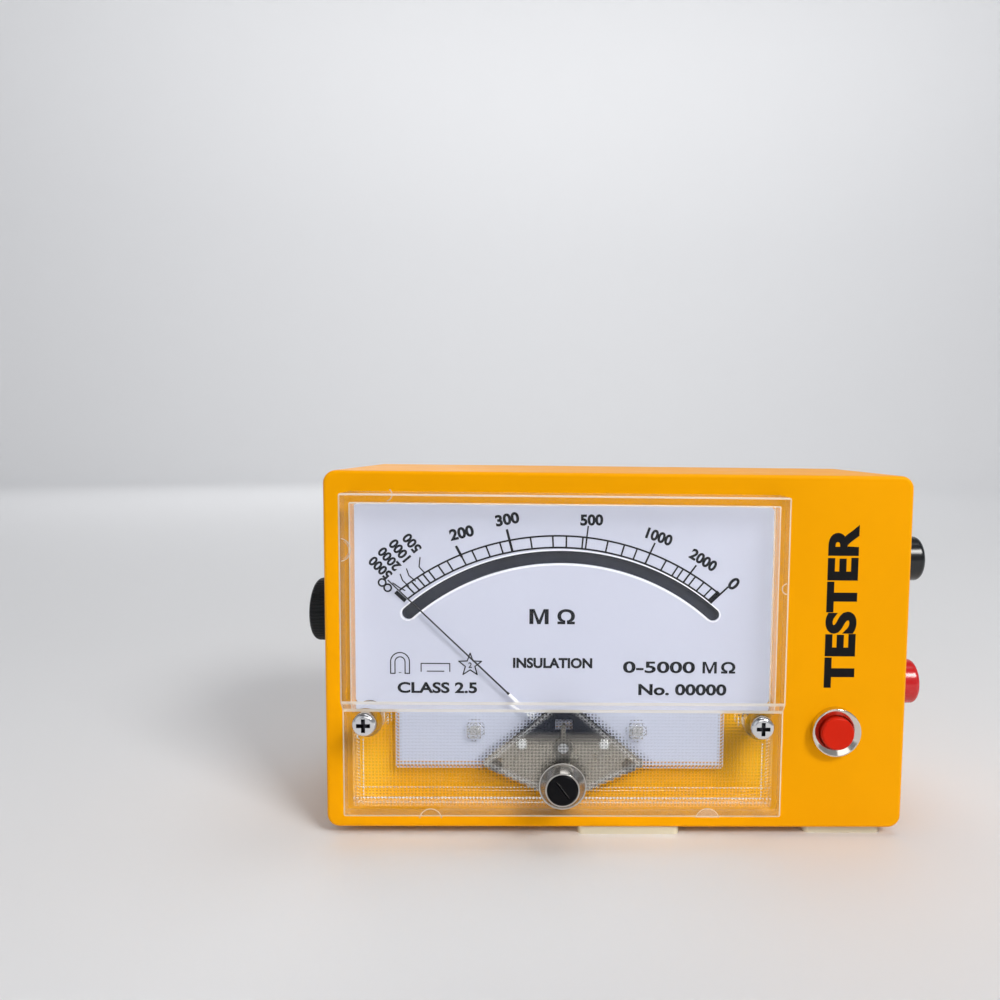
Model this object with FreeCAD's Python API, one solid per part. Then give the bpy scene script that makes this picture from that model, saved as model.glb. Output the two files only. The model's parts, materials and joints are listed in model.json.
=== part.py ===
import FreeCAD, Part
import math
import os

V = FreeCAD.Vector
os.makedirs("parts", exist_ok=True)

# ---------------------------------------------------------------------------
# Insulation resistance tester. Millimetres, +Z up, front faces -Y.
# Shapes are drawn with the case's front plane at y = 0 and its underside at
# z = 0, then moved so that the origin is the centre of the object's footprint.
# ---------------------------------------------------------------------------
CASE_W = 136.0        # case width
CASE_H = 84.0         # case height
CASE_D = 50.0         # case depth
FRONT_D = 30.0        # depth of the front shell
WALL = 2.2            # case wall
FACE_T = 2.5          # front wall thickness
CORNER_R = 3.0        # plan corner radius
FRONT_EDGE_R = 0.9    # front edge rounding
BACK_EDGE_R = 1.8     # back edge rounding
FOOT_H = 2.0          # foot pad height

COV_X0, COV_X1 = -62.2, 37.3      # clear cover, outer sides
COV_Z0, COV_Z1 = 5.8, 79.3        # clear cover, bottom and top
COV_H = 8.0                       # how far the window stands off the case
STRIP_H = 6.5                     # how far the lower strip stands off
STEP_Z0, STEP_Z1 = 30.6, 32.6     # chamfered step between the two
COV_WALL = 2.0
COV_CORNER_R = 0.5                # plan corners of the cover
WIN_T = 1.8
STRIP_T = 1.6

PX, PZ = -12.6, 21.33             # pointer axis
NEEDLE_R = 55.2                   # pointer length from its axis
NEEDLE_REST = 136.3               # pointer direction at rest, degrees from +X
ARC_X, ARC_Z = -13.3, 12.0        # centre of the scale arcs
MIRROR_R0, MIRROR_R1 = 51.4, 54.3
MIRROR_A0, MIRROR_A1 = 48.8, 131.4
DIAL_F = -1.6                     # dial face
DIAL_T = 0.8
ADJ_X, ADJ_Z = PX, PZ - 8.2       # zero adjuster axis
ADJ_E = 1.2                       # eccentric pin offset

BTN_X, BTN_Z = 51.3, 23.9         # push button axis
KNOB_Y, KNOB_Z = 18.0, 48.2       # side knob axis
KNOB_R = 7.8
TERM_Y = 18.0                     # terminal depth
TERM_BLACK_Z, TERM_RED_Z = 62.3, 30.4
BORE_R = 2.02                     # 4 mm test socket bore
BORE_L = 15.0
RUN = 0.05                        # running clearance, radial

HW = CASE_W / 2.0
KX0, KX1 = -75.1, -68.3           # knob, outer and inner faces
TX1 = 77.3                        # outer face of the sockets
ADJ_FRONT = -9.0                  # front of the zero adjuster
# The origin is the middle of the whole object's footprint, on the floor.
PLACE = V(-(KX0 + TX1) / 2.0, -(ADJ_FRONT + CASE_D) / 2.0, FOOT_H)


def save(name, shape):
    s = shape.copy()
    s.translate(PLACE)
    s.exportStep("parts/%s.step" % name)


def box(x0, x1, y0, y1, z0, z1):
    return Part.makeBox(x1 - x0, y1 - y0, z1 - z0, V(x0, y0, z0))


def rbox(x0, x1, z0, z1, r, y0, y1):
    b = box(x0, x1, y0, y1, z0, z1)
    es = [e for e in b.Edges
          if abs(e.Vertexes[0].Point.y - e.Vertexes[1].Point.y) > 1e-6]
    return b.makeFillet(r, es)


def cy(r, x, z, y0, y1):
    return Part.makeCylinder(r, y1 - y0, V(x, y0, z), V(0, 1, 0))


def cx(r, y, z, x0, x1):
    return Part.makeCylinder(r, x1 - x0, V(x0, y, z), V(1, 0, 0))


def ring_y(ro, ri, x, z, y0, y1):
    return cy(ro, x, z, y0, y1).cut(cy(ri, x, z, y0 - 1, y1 + 1))


def ring_x(ro, ri, y, z, x0, x1):
    return cx(ro, y, z, x0, x1).cut(cx(ri, y, z, x0 - 1, x1 + 1))


def poly_y(pts, y0, y1):
    w = Part.makePolygon([V(x, y0, z) for x, z in pts] + [V(pts[0][0], y0, pts[0][1])])
    return Part.Face(w).extrude(V(0, y1 - y0, 0))


def poly_x(pts, x0, x1):
    w = Part.makePolygon([V(x0, y, z) for y, z in pts] + [V(x0, pts[0][0], pts[0][1])])
    return Part.Face(w).extrude(V(x1 - x0, 0, 0))


def hex_y(af, x, z, y0, y1):
    r = af / math.sqrt(3.0)
    return poly_y([(x + r * math.cos(math.radians(60 * k)),
                    z + r * math.sin(math.radians(60 * k))) for k in range(6)], y0, y1)


def hex_x(af, y, z, x0, x1):
    r = af / math.sqrt(3.0)
    return poly_x([(y + r * math.cos(math.radians(60 * k)),
                    z + r * math.sin(math.radians(60 * k))) for k in range(6)], x0, x1)


def fuse(first, *rest):
    out = first
    for s in rest:
        out = out.fuse(s)
    return out.removeSplitter()


def cut(base, *rest):
    for s in rest:
        base = base.cut(s)
    return base


def plane_edges(shape, axis, value, tol=1e-4):
    out = []
    for e in shape.Edges:
        ok = True
        for v in e.Vertexes:
            if abs(getattr(v.Point, axis) - value) > tol:
                ok = False
        if ok and e.Vertexes:
            out.append(e)
    return out


def cyl_from(cx0, cz0, ang, r):
    a = math.radians(ang)
    return cx0 + r * math.cos(a), cz0 + r * math.sin(a)


def arc_band(x, z, r0, r1, a0, a1, y0, y1):
    """Arc-shaped bar with round ends, about the Y axis through (x, z)."""
    rm, rh = (r0 + r1) / 2.0, (r1 - r0) / 2.0
    wedge = [(x, z)]
    n = 12
    for k in range(n + 1):
        a = math.radians(a0 + (a1 - a0) * k / n)
        wedge.append((x + 3 * r1 * math.cos(a), z + 3 * r1 * math.sin(a)))
    s = ring_y(r1, r0, x, z, y0, y1).common(poly_y(wedge, y0, y1))
    for a in (a0, a1):
        ex, ez = cyl_from(x, z, a, rm)
        s = s.fuse(cy(rh, ex, ez, y0, y1))
    return s.removeSplitter()


def pan_screw_y(x, z, y_head, y_seat, y_tip, rh, rs, slot):
    """Pan-head screw along Y, head towards -Y, with a cross recess."""
    head = cy(rh, x, z, y_head, y_seat)
    head = head.makeFillet((y_seat - y_head) * 0.55, plane_edges(head, "y", y_head))
    s = fuse(head, cy(rs, x, z, y_seat - 0.01, y_tip))
    w = slot
    l = rh * 1.15
    d = (y_seat - y_head) * 0.55
    s = s.cut(box(x - l / 2, x + l / 2, y_head - 0.1, y_head + d, z - w / 2, z + w / 2))
    s = s.cut(box(x - w / 2, x + w / 2, y_head - 0.1, y_head + d, z - l / 2, z + l / 2))
    return s


# ---------------------------------------------------------------------------
# Case
# ---------------------------------------------------------------------------
SCREWS = [(-61.0, 7.6), (61.0, 7.6), (-61.0, 76.4), (61.0, 76.4)]
COVER_SCREWS = [(-57.0, 27.6), (32.3, 27.2)]
DIAL_SCREWS = [(-33.0, 24.4), (4.4, 24.4)]
PILLARS = [(PX - 15.2, 17.2), (PX + 15.2, 17.2)]
BOARD_POSTS = [(-47.0, 74.0), (45.0, 74.0)]

outer = rbox(-HW, HW, 0, CASE_H, CORNER_R, 0, FRONT_D)
outer = outer.makeFillet(FRONT_EDGE_R, plane_edges(outer, "y", 0))
inner = rbox(-HW + WALL, HW - WALL, WALL, CASE_H - WALL, 1.0, FACE_T, FRONT_D + 1)
front = outer.cut(inner)
lip = rbox(-HW + 1.1, HW - 1.1, 1.1, CASE_H - 1.1, 1.9, FRONT_D - 1.5, FRONT_D + 1)
front = front.cut(lip)
for x, z in SCREWS:
    front = front.fuse(cy(3.6, x, z, FACE_T, FRONT_D - 1.5))
    front = front.cut(cy(1.5, x, z, 16, FRONT_D))
for x, z in COVER_SCREWS:
    front = front.fuse(cy(3.2, x, z, FACE_T, 10))
    front = front.cut(cy(1.5, x, z, -1, 9))
for x, z in DIAL_SCREWS:
    front = front.cut(cy(2.3, x, z, -1, FACE_T + 1))
for x, z in PILLARS:
    front = front.cut(cy(1.7, x, z, -1, FACE_T + 1))
for x, z in BOARD_POSTS:
    front = front.fuse(cy(2.5, x, z, FACE_T, 26.0))
for x, z in [(-52.0, 73.0), (26.5, 73.0), (-52.0, 34.5), (26.5, 34.5)]:
    front = front.fuse(cy(1.5, x, z, DIAL_F + DIAL_T, 0.5))
front = cut(front,
            cy(6.6, PX, PZ, -1, FACE_T + 1),
            cy(5.05, BTN_X, BTN_Z, -1, FACE_T + 1),
            cx(3.55, KNOB_Y, KNOB_Z, -HW - 1, -HW + WALL + 1),
            cx(4.25, TERM_Y, TERM_BLACK_Z, HW - WALL - 1, HW + 1),
            cx(4.25, TERM_Y, TERM_RED_Z, HW - WALL - 1, HW + 1))
front = front.removeSplitter()
save("front_case", front)

# Rear shell with the battery tray; the tray opens to the back.
TRAY_X, TRAY_Z0, TRAY_Z1 = 54.4, 7.4, 41.4
DOOR_X, DOOR_Z0, DOOR_Z1 = 56.4, 5.4, 43.0
HINGE_Y, HINGE_Z = 49.0, 6.4
outer = rbox(-HW, HW, 0, CASE_H, CORNER_R, FRONT_D, CASE_D)
outer = outer.makeFillet(BACK_EDGE_R, plane_edges(outer, "y", CASE_D))
inner = rbox(-HW + WALL, HW - WALL, WALL, CASE_H - WALL, 1.0, FRONT_D - 1, CASE_D - WALL)
rear = outer.cut(inner)
tongue = rbox(-HW + 1.2, HW - 1.2, 1.2, CASE_H - 1.2, 1.8, FRONT_D - 1.4, FRONT_D + 1).cut(
    rbox(-HW + WALL, HW - WALL, WALL, CASE_H - WALL, 1.0, FRONT_D - 2, FRONT_D + 2))
rear = rear.fuse(tongue)
for x, z in SCREWS:
    rear = rear.fuse(cy(3.6, x, z, FRONT_D - 1.4, CASE_D - WALL + 0.1))
tray = box(-TRAY_X - 1.6, TRAY_X + 1.6, 30.6, CASE_D - WALL + 0.1, TRAY_Z0 - 1.6, TRAY_Z1 + 1.6)
rear = rear.fuse(tray)
for x, z in [(-47.0, 74.0), (45.0, 74.0)]:
    rear = rear.fuse(cy(2.5, x, z, 27.6, CASE_D - WALL + 0.1))
for x, z in [(-47.0, 16.0), (45.0, 16.0)]:
    rear = rear.fuse(cy(2.5, x, z, 27.6, 30.7))
rear = cut(rear,
           box(-TRAY_X, TRAY_X, 32.2, CASE_D + 1, TRAY_Z0, TRAY_Z1),
           box(-DOOR_X - 0.2, DOOR_X + 0.2, 48.2, CASE_D + 1, DOOR_Z0 - 0.25, DOOR_Z1 + 0.2))
for x, z in SCREWS:
    rear = cut(rear, cy(1.7, x, z, FRONT_D - 3, CASE_D + 1), cy(3.1, x, z, CASE_D - 3.0, CASE_D + 1))
# hinge groove, and pin sockets at both ends of the door
rear = cut(rear, cx(1.25, HINGE_Y, HINGE_Z, -DOOR_X - 0.2, DOOR_X + 0.2),
           cx(0.8, HINGE_Y, HINGE_Z, -DOOR_X - 1.8, DOOR_X + 1.8))
rear = rear.removeSplitter()
save("rear_case", rear)

for k, (x, z) in enumerate(SCREWS):
    yh = CASE_D - 3.0
    head = cy(2.8, x, z, yh, yh + 2.2)
    head = head.makeFillet(0.9, plane_edges(head, "y", yh + 2.2))
    s = fuse(head, cy(1.45, x, z, 20.0, yh + 0.01))
    for a, b in ((3.2, 0.8), (0.8, 3.2)):
        s = s.cut(box(x - a / 2, x + a / 2, yh + 1.1, yh + 3, z - b / 2, z + b / 2))
    save("case_screw_%d" % (k + 1), s)


def pad(x0, x1, y0, y1):
    b = box(x0, x1, y0, y1, -FOOT_H, 0)
    es = [e for e in b.Edges
          if abs(e.Vertexes[0].Point.z - e.Vertexes[1].Point.z) > 1e-6]
    return b.makeFillet(1.2, es)


save("foot_front_mid", pad(-9.0, 15.1, 0.9, 12.0))
save("foot_front_right", pad(45.3, 63.7, 1.8, 12.0))
save("foot_rear", pad(-62.0, 62.0, 37.0, 47.0))

# ---------------------------------------------------------------------------
# Clear cover
# ---------------------------------------------------------------------------
cov = rbox(COV_X0, COV_X1, COV_Z0, COV_Z1, COV_CORNER_R, -COV_H, 0)
cov = cov.cut(poly_x([(-COV_H - 1, STEP_Z1 + 1.2), (-COV_H, STEP_Z1), (-STRIP_H, STEP_Z0),
                      (-STRIP_H, COV_Z0 - 2), (-COV_H - 1, COV_Z0 - 2)],
                     COV_X0 - 1, COV_X1 + 1))
cov = cut(cov,
          rbox(COV_X0 + COV_WALL, COV_X1 - COV_WALL, STEP_Z0, COV_Z1 - COV_WALL, 0.4,
               -COV_H + WIN_T, 1),
          box(COV_X0 + COV_WALL, COV_X1 - COV_WALL, -STRIP_H + STRIP_T, 1,
              COV_Z0 + COV_WALL, STEP_Z0 + 3))
for x, z in COVER_SCREWS:
    boss = cy(3.6, x, z, -STRIP_H + 0.2, 0)
    cov = cov.fuse(boss.common(box(COV_X0, COV_X1, -STRIP_H, 0, COV_Z0, COV_Z1)))
    cov = cov.cut(cy(1.6, x, z, -COV_H, 1))
cov = cov.cut(cy(4.6, ADJ_X, ADJ_Z, -COV_H, 1))
cov = cov.removeSplitter()
save("meter_cover", cov)

for name, (x, z) in zip(("cover_screw_left", "cover_screw_right"), COVER_SCREWS):
    save(name, pan_screw_y(x, z, -STRIP_H - 2.0, -STRIP_H, 8.0, 2.7, 1.45, 0.9))

# collar and zero adjuster
cone = Part.makeCone(5.2, 3.85, 2.1, V(ADJ_X, -STRIP_H - 0.2, ADJ_Z), V(0, -1, 0))
col = fuse(cy(5.4, ADJ_X, ADJ_Z, -STRIP_H - 0.3, -STRIP_H), cone)
col = col.cut(cy(3.55, ADJ_X, ADJ_Z, -10, 0))
col = fuse(col, ring_y(4.6, 3.55, ADJ_X, ADJ_Z, -STRIP_H - 0.01, -STRIP_H + STRIP_T),
           ring_y(4.6, 3.0, ADJ_X, ADJ_Z, -STRIP_H + STRIP_T - 0.01, -4.7))
col = col.makeFillet(0.15, [e for e in plane_edges(col, "y", -STRIP_H - 2.3)
                            if abs(e.Curve.Radius - 3.85) < 1e-3])
save("adjuster_collar", col)

adj = cy(3.5, ADJ_X, ADJ_Z, ADJ_FRONT, -4.95)
adj = adj.makeFillet(0.6, plane_edges(adj, "y", ADJ_FRONT))
adj = adj.fuse(cy(0.5, ADJ_X, ADJ_Z + ADJ_E, -5.0, -4.15))
slot = box(ADJ_X - 2.35, ADJ_X + 2.35, -9.5, -8.1, ADJ_Z - 0.2, ADJ_Z + 0.2)
slot.rotate(V(ADJ_X, 0, ADJ_Z), V(0, 1, 0), 53.0)
adj = adj.cut(slot).removeSplitter()
save("zero_adjuster", adj)

# ---------------------------------------------------------------------------
# Dial, mirror, meter frame
# ---------------------------------------------------------------------------
dial = rbox(-60.2, 34.9, 30.9, 76.8, 1.0, DIAL_F, DIAL_F + DIAL_T)
dial = dial.fuse(box(-50.9, 24.2, DIAL_F, DIAL_F + DIAL_T, 16.0, 31.5))
dial = dial.cut(arc_band(ARC_X, ARC_Z, MIRROR_R0, MIRROR_R1, MIRROR_A0, MIRROR_A1, -5, 5))
for x, z in DIAL_SCREWS:
    dial = dial.cut(cy(1.2, x, z, -5, 5))
for x, z in PILLARS:
    dial = dial.cut(cy(1.8, x, z, -5, 5))
for x, z in COVER_SCREWS:
    dial = dial.cut(cy(3.8, x, z, -5, 5))
dial = dial.cut(cy(3.4, PX, PZ, -5, 5)).removeSplitter()
save("dial_plate", dial)

save("mirror_strip", arc_band(ARC_X, ARC_Z, MIRROR_R0 - 1.0, MIRROR_R1 + 1.0,
                              MIRROR_A0 - 0.4, MIRROR_A1 + 0.4, DIAL_F + DIAL_T, DIAL_F + DIAL_T + 0.5))

for name, (x, z) in zip(("dial_screw_left", "dial_screw_right"), DIAL_SCREWS):
    save(name, pan_screw_y(x, z, DIAL_F - 1.0, DIAL_F, 3.5, 1.9, 0.9, 0.5))

frm = box(-39.5, 14.3, FACE_T, 4.5, 9.8, 36.0)
frm = frm.cut(cy(9.4, PX, PZ, 0, 10))
for x, z in DIAL_SCREWS:
    frm = frm.fuse(cy(2.2, x, z, DIAL_F + DIAL_T, FACE_T + 0.1)).cut(cy(0.95, x, z, -5, 5))
for x, z in PILLARS:
    frm = frm.fuse(cy(1.5, x, z, -3.4, FACE_T + 0.1)).cut(cy(0.7, x, z, -5, -0.5))
save("meter_frame", frm.removeSplitter())

pole = box(PX - 15.9, PX + 15.9, 4.5, 21.5, 9.8, 33.8).cut(cy(9.4, PX, PZ, 0, 30))
save("pole_piece", pole)

mag = box(PX - 24.3, PX + 24.3, 6.0, 20.0, 12.0, 58.0).cut(box(PX - 15.9, PX + 15.9, 5, 21, 11, 46.0))
es = [e for e in mag.Edges if abs(e.Vertexes[0].Point.y - e.Vertexes[-1].Point.y) > 1
      and e.Vertexes[0].Point.z > 57.9]
mag = mag.makeFillet(6.0, es)
save("magnet", mag)

core = cy(7.0, PX, PZ, 7.0, 19.0)
core = core.fuse(box(PX - 1.5, PX + 1.5, 9.0, 17.0, PZ - 9.3, PZ + 9.3)
                 .common(cy(9.4, PX, PZ, 8, 18))).removeSplitter()
save("core", core)

kite = [(PX + 2.6, 31.0), (PX + 18.2, 18.2), (PX + 18.2, 16.8), (PX, 8.6),
        (PX - 18.2, 16.8), (PX - 18.2, 18.2), (PX - 2.6, 31.0)]
bridge = poly_y(kite, -4.0, -3.4)
bridge = cut(bridge, cy(1.2, PX, PZ, -6, 0),
             box(PX - 1.9, PX + 1.9, -6, 0, PZ + 3.9, PZ + 6.3))
for x, z in PILLARS:
    bridge = bridge.cut(cy(0.75, x, z, -6, 0))
for sgn in (-1, 1):
    stud = cy(1.1, PX + sgn * 9.4, 22.0, -4.45, -3.9)
    bridge = bridge.fuse(stud.makeFillet(0.4, plane_edges(stud, "y", -4.45)))
bridge = bridge.removeSplitter()
save("front_bridge", bridge)
for name, (x, z) in zip(("bridge_screw_left", "bridge_screw_right"), PILLARS):
    h = cy(1.4, x, z, -4.7, -4.0)
    h = fuse(h, cy(0.7, x, z, -4.01, -1.0)).cut(box(x - 2, x + 2, -5, -4.4, z - 0.2, z + 0.2))
    save(name, h)

jf = cy(1.2, PX, PZ, -4.6, -3.3).cut(cy(0.35, PX, PZ, -3.75, -3.0))
jf = jf.cut(box(PX - 2, PX + 2, -5, -4.55, PZ - 0.15, PZ + 0.15))
save("jewel_front", jf)

lever = cy(2.2, PX, PZ, -4.45, -4.15)
arm = box(PX - 1.6, PX + 1.6, -4.45, -4.15, ADJ_Z - 0.4, PZ)
lever = lever.fuse(arm)
lever = lever.fuse(box(PX - 0.5, PX + 0.5, -4.45, -4.15, PZ, PZ + 5.4))
lever = lever.fuse(box(PX - 0.5, PX + 0.5, -4.45, -2.95, PZ + 5.0, PZ + 5.4))
lever = cut(lever, cy(1.25, PX, PZ, -6, 0),
            box(PX - 0.62, PX + 0.62, -6, -3, ADJ_Z - 1.0, ADJ_Z + ADJ_E + 1.0)).removeSplitter()
save("zero_lever", lever)


def spiral(r_in, r_out, turns, a_end, t, y0, y1, n=24):
    """Flat spiral strip about the pointer axis."""
    pin, pout = [], []
    steps = int(turns * n)
    for k in range(steps + 1):
        u = k / steps
        a = math.radians(a_end) - 2 * math.pi * turns * (1 - u)
        r = r_in + (r_out - r_in) * u
        pin.append(V(PX + (r - t / 2) * math.cos(a), y0, PZ + (r - t / 2) * math.sin(a)))
        pout.append(V(PX + (r + t / 2) * math.cos(a), y0, PZ + (r + t / 2) * math.sin(a)))
    b1 = Part.BSplineCurve()
    b1.interpolate(pin)
    b2 = Part.BSplineCurve()
    b2.interpolate(pout)
    w = Part.Wire([b1.toShape(), Part.makeLine(pin[-1], pout[-1]),
                   b2.toShape().reversed(), Part.makeLine(pout[0], pin[0])])
    return Part.Face(Part.Wire(Part.__sortEdges__(w.Edges))).extrude(V(0, y1 - y0, 0))


save("hairspring", spiral(1.12, 4.93, 3.5, 90.0, 0.14, -3.25, -2.95))

# Moving coil, its two pivots, pointer and balance weight (one moving body)
sf = cut(fuse(cy(0.7, PX, PZ, -3.05, 5.2), cy(0.3, PX, PZ, -3.6, -3.04),
              cy(1.05, PX, PZ, -3.05, -2.8)))
save("pivot_front", sf)
sr = fuse(cy(0.7, PX, PZ, 20.8, 22.2), cy(0.3, PX, PZ, 22.1, 22.7))
save("pivot_rear", sr)

coil = box(PX - 8.8, PX + 8.8, 5.2, 20.8, PZ - 1.2, PZ + 1.2)
coil = coil.cut(box(PX - 7.6, PX + 7.6, 6.4, 19.6, PZ - 3, PZ + 3))
coil.rotate(V(PX, 0, PZ), V(0, 1, 0), -(NEEDLE_REST - 90.0))
save("moving_coil", coil)

# Pointer drawn along +X, then turned to its rest direction.
NEEDLE_Y0, NEEDLE_Y1 = -2.8, -2.5
ndl = poly_y([(PX, PZ + 0.45), (PX + 17.2, PZ + 0.30), (PX + 18.1, PZ + 0.16),
              (PX + NEEDLE_R, PZ + 0.12), (PX + NEEDLE_R, PZ - 0.12),
              (PX + 18.1, PZ - 0.16), (PX + 17.2, PZ - 0.30), (PX, PZ - 0.45)],
             NEEDLE_Y0, NEEDLE_Y1)
ndl = ndl.fuse(cy(1.7, PX, PZ, NEEDLE_Y0, NEEDLE_Y1))
ndl = ndl.fuse(box(PX - 9.6, PX, NEEDLE_Y0, NEEDLE_Y1, PZ - 0.5, PZ + 0.5))
for s in (-1, 1):
    ndl = ndl.fuse(box(PX - 0.4, PX + 0.4, NEEDLE_Y0, NEEDLE_Y1,
                       min(PZ, PZ + s * 6.0), max(PZ, PZ + s * 6.0)))
ndl = ndl.cut(cy(0.7, PX, PZ, -5, 0)).removeSplitter()
# The weight on the tail cancels the pointer's moment about the axis.
RHO_AL, RHO_BR = 2.70, 8.50
m_ptr = sum(q.Volume * RHO_AL * (q.CenterOfMass.x - PX) for q in ndl.Solids)
W_L, W_H = 2.25, 2.25
TAIL_W = 1.0
W_Y0, W_Y1 = -3.25, -1.85
m_wt = (W_L * W_H * (W_Y1 - W_Y0) - W_L * TAIL_W * (NEEDLE_Y1 - NEEDLE_Y0)) * RHO_BR
r_wt = m_ptr / m_wt
wt = box(PX - r_wt - W_L / 2, PX - r_wt + W_L / 2, W_Y0, W_Y1,
         PZ - W_H / 2, PZ + W_H / 2)
wt = wt.cut(box(PX - 30, PX, NEEDLE_Y0, NEEDLE_Y1, PZ - TAIL_W / 2, PZ + TAIL_W / 2))
for s in (ndl, wt):
    s.rotate(V(PX, 0, PZ), V(0, 1, 0), -NEEDLE_REST)
save("pointer", ndl)
save("balance_weight", wt)

rb = box(PX - 14.0, PX + 14.0, 22.6, 24.0, PZ - 3.0, PZ + 3.0)
rb = fuse(rb, cy(2.0, PX - 12.3, PZ, 21.5, 22.7), cy(2.0, PX + 12.3, PZ, 21.5, 22.7))
rb = rb.cut(cy(1.2, PX, PZ, 20, 30))
save("rear_bridge", rb)
save("jewel_rear", cy(1.2, PX, PZ, 22.3, 25.0).cut(cy(0.35, PX, PZ, 22.0, 22.8)))

# ---------------------------------------------------------------------------
# Push button
# ---------------------------------------------------------------------------
bez = fuse(ring_y(5.75, 4.2, BTN_X, BTN_Z, -1.9, 0),
           ring_y(5.0, 4.2, BTN_X, BTN_Z, -0.01, 0.2),
           ring_y(5.0, 4.7, BTN_X, BTN_Z, 0.19, 7.0))
bez = bez.cut(Part.makeCone(5.5, 4.0, 0.6, V(BTN_X, -1.95, BTN_Z), V(0, 1, 0)))
bez = bez.makeFillet(0.25, [e for e in plane_edges(bez, "y", -1.9)
                           if abs(e.Curve.Radius - 5.75) < 1e-3])
save("button_bezel", bez)
cap = cy(3.85, BTN_X, BTN_Z, -2.8, 1.3)
cap = cap.makeFillet(0.5, plane_edges(cap, "y", -2.8))
cap = fuse(cap, cy(4.62, BTN_X, BTN_Z, 0.3, 1.3), cy(2.0, BTN_X, BTN_Z, 1.2, 13.0))
save("button_cap", cap)
body = cy(5.0, BTN_X, BTN_Z, 7.0, 17.0)
body = cut(body, cy(3.7, BTN_X, BTN_Z, 6, 11.0), cy(2.05, BTN_X, BTN_Z, 6, 16.0))
body = fuse(body, box(BTN_X - 3.2, BTN_X - 2.4, 17.0, 20.0, BTN_Z - 1.2, BTN_Z + 1.2),
            box(BTN_X + 2.4, BTN_X + 3.2, 17.0, 20.0, BTN_Z - 1.2, BTN_Z + 1.2))
save("button_body", body)
save("button_nut", hex_y(12.4, BTN_X, BTN_Z, FACE_T, 4.9).cut(cy(5.0, BTN_X, BTN_Z, 0, 9)))
turns, sp_r, wire_r, per_turn = 6, 2.85, 0.28, 20
sp_y0, sp_y1 = 1.35 + wire_r, 10.95 - wire_r
secs = []
for k in range(turns * per_turn + 1):
    a = 2 * math.pi * k / per_turn
    yc = sp_y0 + (sp_y1 - sp_y0) * k / (turns * per_turn)
    pts = []
    for q in range(6):
        b = 2 * math.pi * q / 6
        r = sp_r + wire_r * math.cos(b)
        pts.append(V(BTN_X + r * math.cos(a), yc + wire_r * math.sin(b), BTN_Z + r * math.sin(a)))
    secs.append(Part.makePolygon(pts + [pts[0]]))
coil_sp = Part.makeLoft(secs, True, True)
save("button_spring", coil_sp)

# ---------------------------------------------------------------------------
# Side knob and potentiometer (axis along X)
# ---------------------------------------------------------------------------
knob = cx(KNOB_R, KNOB_Y, KNOB_Z, KX0, KX1)
knob = knob.makeFillet(1.3, plane_edges(knob, "x", KX0))
grooves = []
NG = 56
for k in range(NG):
    a = 2 * math.pi * k / NG
    grooves.append(cx(0.3, KNOB_Y + (KNOB_R + 0.06) * math.cos(a),
                      KNOB_Z + (KNOB_R + 0.06) * math.sin(a), KX0 - 1, KX1 - 0.8))
knob = knob.cut(Part.makeCompound(grooves))
knob = cut(knob, cx(6.0, KNOB_Y, KNOB_Z, KX1 - 2.4, KX1 + 1),
           cx(3.0, KNOB_Y, KNOB_Z, KX0 + 1.6, KX1 + 1),
           box(KX0 - 0.5, KX0 + 0.4, KNOB_Y - 0.35, KNOB_Y + 0.35, KNOB_Z + 2.0, KNOB_Z + 9))
save("knob", knob)
save("pot_shaft", cx(3.0, KNOB_Y, KNOB_Z, KX0 + 1.6, -58.8))
pot = fuse(cx(8.2, KNOB_Y, KNOB_Z, -HW + WALL, -57.0),
           cx(3.5, KNOB_Y, KNOB_Z, -69.6, -HW + WALL + 0.1))
pot = pot.cut(cx(3.05, KNOB_Y, KNOB_Z, -75, -58.6))
for k in (-1, 0, 1):
    pot = pot.fuse(box(-64.4, -63.8, KNOB_Y + 3.0 * k - 0.8, KNOB_Y + 3.0 * k + 0.8, KNOB_Z - 12.0, KNOB_Z - 7.0))
save("pot_body", pot.removeSplitter())
save("pot_nut", hex_x(9.6, KNOB_Y, KNOB_Z, -69.5, -68.0).cut(cx(3.5, KNOB_Y, KNOB_Z, -71, -67)))

# ---------------------------------------------------------------------------
# Test terminals (axis along X)
# ---------------------------------------------------------------------------
for name, z in (("black", TERM_BLACK_Z), ("red", TERM_RED_Z)):
    s = cx(5.6, TERM_Y, z, HW, TX1)
    s = s.makeFillet(1.3, plane_edges(s, "x", TX1))
    s = fuse(s, cx(4.2, TERM_Y, z, 63.6, HW + 0.1))
    s = cut(s, cx(3.2, TERM_Y, z, 60, TX1 - 0.8), cx(2.7, TERM_Y, z, TX1 - 1, TX1 + 1))
    save("socket_" + name, s)
    sl = cx(3.2, TERM_Y, z, 58.4, TX1 - 0.8).cut(cx(BORE_R, TERM_Y, z, TX1 - 0.8 - BORE_L, TX1))
    save("sleeve_" + name, sl)
    save("nut_" + name, hex_x(11.0, TERM_Y, z, 60.8, 63.6).cut(cx(3.2, TERM_Y, z, 58, 66)))

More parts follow.
